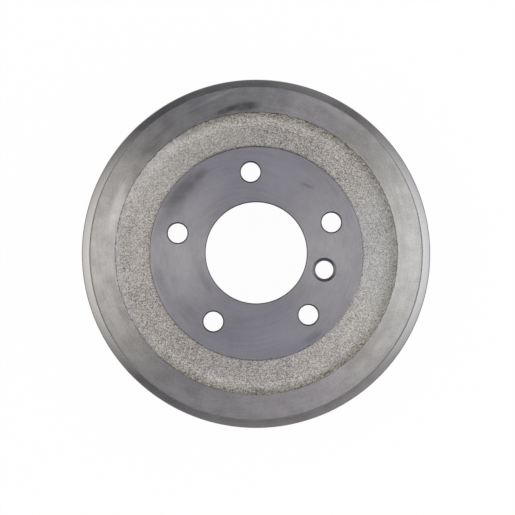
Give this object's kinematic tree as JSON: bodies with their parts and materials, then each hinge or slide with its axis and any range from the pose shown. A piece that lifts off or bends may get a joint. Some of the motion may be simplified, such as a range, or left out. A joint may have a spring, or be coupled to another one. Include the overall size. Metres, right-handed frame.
{
  "type": "brake drum",
  "caption": "Round cast iron brake drum: flat bolted hat with a centre bore, rough cast web, turned sloping shoulder and flared open rim.",
  "frame": {"origin": "centre of the open rim's end face, at the foot of the drum", "axes": "+Z along the wheel's axis, out of the face that the wheel bolts to; the wheel bolt holes are at 22 degrees from +X and every 72 degrees from there"},
  "size_m": [0.265, 0.265, 0.06],
  "materials": {
    "grey_iron": "turned on the working faces, rough as cast on the web"
  },
  "bodies": {
    "root": {"brake_drum": "grey_iron"}
  },
  "joints": []
}
